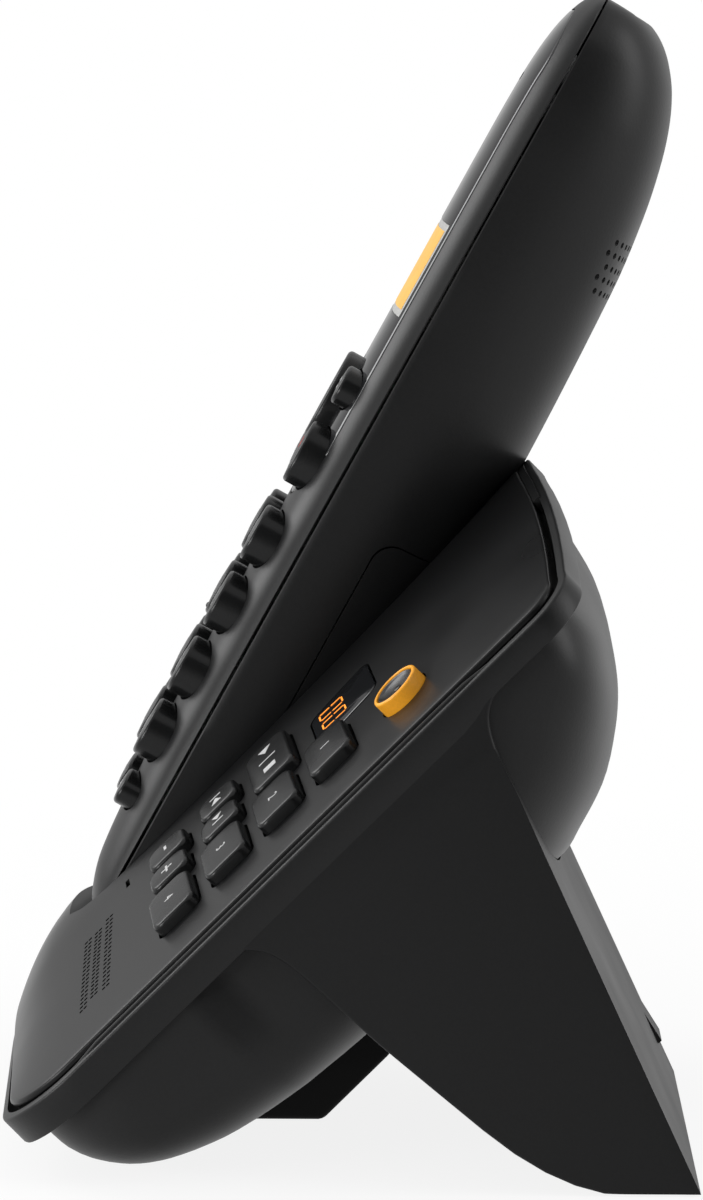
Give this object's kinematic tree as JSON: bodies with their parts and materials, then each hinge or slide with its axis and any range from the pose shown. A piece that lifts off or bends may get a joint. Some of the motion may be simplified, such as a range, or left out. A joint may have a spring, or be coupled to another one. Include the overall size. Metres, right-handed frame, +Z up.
{
  "type": "cordless phone",
  "caption": "Cordless handset leaning in the sloping cradle of an answering-machine base with keys, counter display and speaker.",
  "frame": {"origin": "middle of the footprint, on the table top", "axes": "+X to the user's right, +Y to the rear of the base, +Z up"},
  "size_m": [0.122, 0.1056, 0.1741],
  "materials": {
    "plate_plastic": "fine-textured black, slightly lighter than the shell",
    "shell_plastic": "fine-textured black",
    "well_plastic": "smooth black",
    "key_plastic": "satin charcoal",
    "lens": "glossy clear over black",
    "display": "amber display",
    "display_block": "black display block",
    "orange_ring": "satin orange",
    "rubber": "matte black",
    "socket": "black socket moulding",
    "steel": "zinc-plated",
    "contact_metal": "gold-plated",
    "board": "green lacquer",
    "cell": "metal sleeve"
  },
  "bodies": {
    "base": {"base_top_cover": "plate_plastic", "base_lower_shell": "shell_plastic", "cradle_well": "well_plastic", "stand": "shell_plastic", "front_pedestal": "well_plastic", "rear_foot_left": "rubber", "rear_foot_right": "rubber", "base_screw_lower": "steel", "base_screw_upper": "steel", "counter_window": "lens", "counter_display": "display_block", "base_board": "board", "base_speaker": "steel", "line_jack": "socket", "power_jack": "socket", "charge_pin_left": "contact_metal", "charge_pin_right": "contact_metal"},
    "handset": {"handset_front_shell": "plate_plastic", "handset_back_shell": "shell_plastic", "battery_cover": "shell_plastic", "display_lens": "lens", "lcd_module": "display", "handset_board": "board", "earpiece_receiver": "steel", "ringer_speaker": "steel", "battery_cell_left": "cell", "battery_cell_right": "cell", "handset_contact_left": "contact_metal", "handset_contact_right": "contact_metal"},
    "menu_key_1": {"menu_key_1": "key_plastic"},
    "menu_key_2": {"menu_key_2": "key_plastic"},
    "menu_key_3": {"menu_key_3": "key_plastic"},
    "menu_key_4": {"menu_key_4": "key_plastic"},
    "play_stop_key": {"play_stop_key": "key_plastic"},
    "next_key": {"next_key": "key_plastic"},
    "previous_key": {"previous_key": "key_plastic"},
    "volume_up_key": {"volume_up_key": "key_plastic"},
    "volume_down_key": {"volume_down_key": "key_plastic"},
    "locate_key": {"locate_key_ring": "orange_ring", "locate_key_cap": "key_plastic"},
    "number_key_1": {"number_key_1": "key_plastic"},
    "number_key_2": {"number_key_2": "key_plastic"},
    "number_key_3": {"number_key_3": "key_plastic"},
    "number_key_4": {"number_key_4": "key_plastic"},
    "number_key_5": {"number_key_5": "key_plastic"},
    "number_key_6": {"number_key_6": "key_plastic"},
    "number_key_7": {"number_key_7": "key_plastic"},
    "number_key_8": {"number_key_8": "key_plastic"},
    "number_key_9": {"number_key_9": "key_plastic"},
    "number_key_star": {"number_key_star": "key_plastic"},
    "number_key_0": {"number_key_0": "key_plastic"},
    "number_key_hash": {"number_key_hash": "key_plastic"},
    "function_key_left": {"function_key_left": "key_plastic"},
    "function_key_middle": {"function_key_middle": "key_plastic"},
    "function_key_right": {"function_key_right": "key_plastic"},
    "call_key": {"call_key": "key_plastic"},
    "end_key": {"end_key": "key_plastic"},
    "soft_key_left": {"soft_key_left": "key_plastic"},
    "soft_key_right": {"soft_key_right": "key_plastic"},
    "navigation_key": {"navigation_key": "key_plastic"}
  },
  "joints": [
    {"name": "handset_lift", "type": "slide", "parent": "base", "child": "handset", "axis": [0, 0.4848, 0.8746], "range_m": [0, 0.12]},
    {"name": "menu_key_1_press", "type": "slide", "parent": "base", "child": "menu_key_1", "axis": [-0.1913, 0.6904, -0.6977], "range_m": [0, 0.001], "stiffness_N_per_m": 600, "springref_m": -0.0005},
    {"name": "menu_key_2_press", "type": "slide", "parent": "base", "child": "menu_key_2", "axis": [-0.1913, 0.6904, -0.6977], "range_m": [0, 0.001], "stiffness_N_per_m": 600, "springref_m": -0.0005},
    {"name": "menu_key_3_press", "type": "slide", "parent": "base", "child": "menu_key_3", "axis": [-0.1913, 0.6904, -0.6977], "range_m": [0, 0.001], "stiffness_N_per_m": 600, "springref_m": -0.0005},
    {"name": "menu_key_4_press", "type": "slide", "parent": "base", "child": "menu_key_4", "axis": [-0.1913, 0.6904, -0.6977], "range_m": [0, 0.001], "stiffness_N_per_m": 600, "springref_m": -0.0005},
    {"name": "play_stop_key_press", "type": "slide", "parent": "base", "child": "play_stop_key", "axis": [-0.1913, 0.6904, -0.6977], "range_m": [0, 0.001], "stiffness_N_per_m": 600, "springref_m": -0.0005},
    {"name": "next_key_press", "type": "slide", "parent": "base", "child": "next_key", "axis": [-0.1913, 0.6904, -0.6977], "range_m": [0, 0.001], "stiffness_N_per_m": 600, "springref_m": -0.0005},
    {"name": "previous_key_press", "type": "slide", "parent": "base", "child": "previous_key", "axis": [-0.1913, 0.6904, -0.6977], "range_m": [0, 0.001], "stiffness_N_per_m": 600, "springref_m": -0.0005},
    {"name": "volume_up_key_press", "type": "slide", "parent": "base", "child": "volume_up_key", "axis": [-0.1913, 0.6904, -0.6977], "range_m": [0, 0.001], "stiffness_N_per_m": 600, "springref_m": -0.0005},
    {"name": "volume_down_key_press", "type": "slide", "parent": "base", "child": "volume_down_key", "axis": [-0.1913, 0.6904, -0.6977], "range_m": [0, 0.001], "stiffness_N_per_m": 600, "springref_m": -0.0005},
    {"name": "locate_key_press", "type": "slide", "parent": "base", "child": "locate_key", "axis": [-0.1913, 0.6904, -0.6977], "range_m": [0, 0.001], "stiffness_N_per_m": 600, "springref_m": -0.0005},
    {"name": "number_key_1_press", "type": "slide", "parent": "handset", "child": "number_key_1", "axis": [0, 0.8746, -0.4848], "range_m": [0, 0.0008], "stiffness_N_per_m": 600, "springref_m": -0.0005},
    {"name": "number_key_2_press", "type": "slide", "parent": "handset", "child": "number_key_2", "axis": [0, 0.8746, -0.4848], "range_m": [0, 0.0008], "stiffness_N_per_m": 600, "springref_m": -0.0005},
    {"name": "number_key_3_press", "type": "slide", "parent": "handset", "child": "number_key_3", "axis": [0, 0.8746, -0.4848], "range_m": [0, 0.0008], "stiffness_N_per_m": 600, "springref_m": -0.0005},
    {"name": "number_key_4_press", "type": "slide", "parent": "handset", "child": "number_key_4", "axis": [0, 0.8746, -0.4848], "range_m": [0, 0.0008], "stiffness_N_per_m": 600, "springref_m": -0.0005},
    {"name": "number_key_5_press", "type": "slide", "parent": "handset", "child": "number_key_5", "axis": [0, 0.8746, -0.4848], "range_m": [0, 0.0008], "stiffness_N_per_m": 600, "springref_m": -0.0005},
    {"name": "number_key_6_press", "type": "slide", "parent": "handset", "child": "number_key_6", "axis": [0, 0.8746, -0.4848], "range_m": [0, 0.0008], "stiffness_N_per_m": 600, "springref_m": -0.0005},
    {"name": "number_key_7_press", "type": "slide", "parent": "handset", "child": "number_key_7", "axis": [0, 0.8746, -0.4848], "range_m": [0, 0.0008], "stiffness_N_per_m": 600, "springref_m": -0.0005},
    {"name": "number_key_8_press", "type": "slide", "parent": "handset", "child": "number_key_8", "axis": [0, 0.8746, -0.4848], "range_m": [0, 0.0008], "stiffness_N_per_m": 600, "springref_m": -0.0005},
    {"name": "number_key_9_press", "type": "slide", "parent": "handset", "child": "number_key_9", "axis": [0, 0.8746, -0.4848], "range_m": [0, 0.0008], "stiffness_N_per_m": 600, "springref_m": -0.0005},
    {"name": "number_key_star_press", "type": "slide", "parent": "handset", "child": "number_key_star", "axis": [0, 0.8746, -0.4848], "range_m": [0, 0.0008], "stiffness_N_per_m": 600, "springref_m": -0.0005},
    {"name": "number_key_0_press", "type": "slide", "parent": "handset", "child": "number_key_0", "axis": [0, 0.8746, -0.4848], "range_m": [0, 0.0008], "stiffness_N_per_m": 600, "springref_m": -0.0005},
    {"name": "number_key_hash_press", "type": "slide", "parent": "handset", "child": "number_key_hash", "axis": [0, 0.8746, -0.4848], "range_m": [0, 0.0008], "stiffness_N_per_m": 600, "springref_m": -0.0005},
    {"name": "function_key_left_press", "type": "slide", "parent": "handset", "child": "function_key_left", "axis": [0, 0.8746, -0.4848], "range_m": [0, 0.0008], "stiffness_N_per_m": 600, "springref_m": -0.0005},
    {"name": "function_key_middle_press", "type": "slide", "parent": "handset", "child": "function_key_middle", "axis": [0, 0.8746, -0.4848], "range_m": [0, 0.0008], "stiffness_N_per_m": 600, "springref_m": -0.0005},
    {"name": "function_key_right_press", "type": "slide", "parent": "handset", "child": "function_key_right", "axis": [0, 0.8746, -0.4848], "range_m": [0, 0.0008], "stiffness_N_per_m": 600, "springref_m": -0.0005},
    {"name": "call_key_press", "type": "slide", "parent": "handset", "child": "call_key", "axis": [0, 0.8746, -0.4848], "range_m": [0, 0.0008], "stiffness_N_per_m": 600, "springref_m": -0.0005},
    {"name": "end_key_press", "type": "slide", "parent": "handset", "child": "end_key", "axis": [0, 0.8746, -0.4848], "range_m": [0, 0.0008], "stiffness_N_per_m": 600, "springref_m": -0.0005},
    {"name": "soft_key_left_press", "type": "slide", "parent": "handset", "child": "soft_key_left", "axis": [0, 0.8746, -0.4848], "range_m": [0, 0.0008], "stiffness_N_per_m": 600, "springref_m": -0.0005},
    {"name": "soft_key_right_press", "type": "slide", "parent": "handset", "child": "soft_key_right", "axis": [0, 0.8746, -0.4848], "range_m": [0, 0.0008], "stiffness_N_per_m": 600, "springref_m": -0.0005},
    {"name": "navigation_key_tilt", "type": "hinge", "parent": "handset", "child": "navigation_key", "pos_m": [-0.019, 0.00283, 0.10756], "axis": [1, 0, 0], "range_deg": [-4, 4], "stiffness_Nm_per_rad": 0.05}
  ]
}
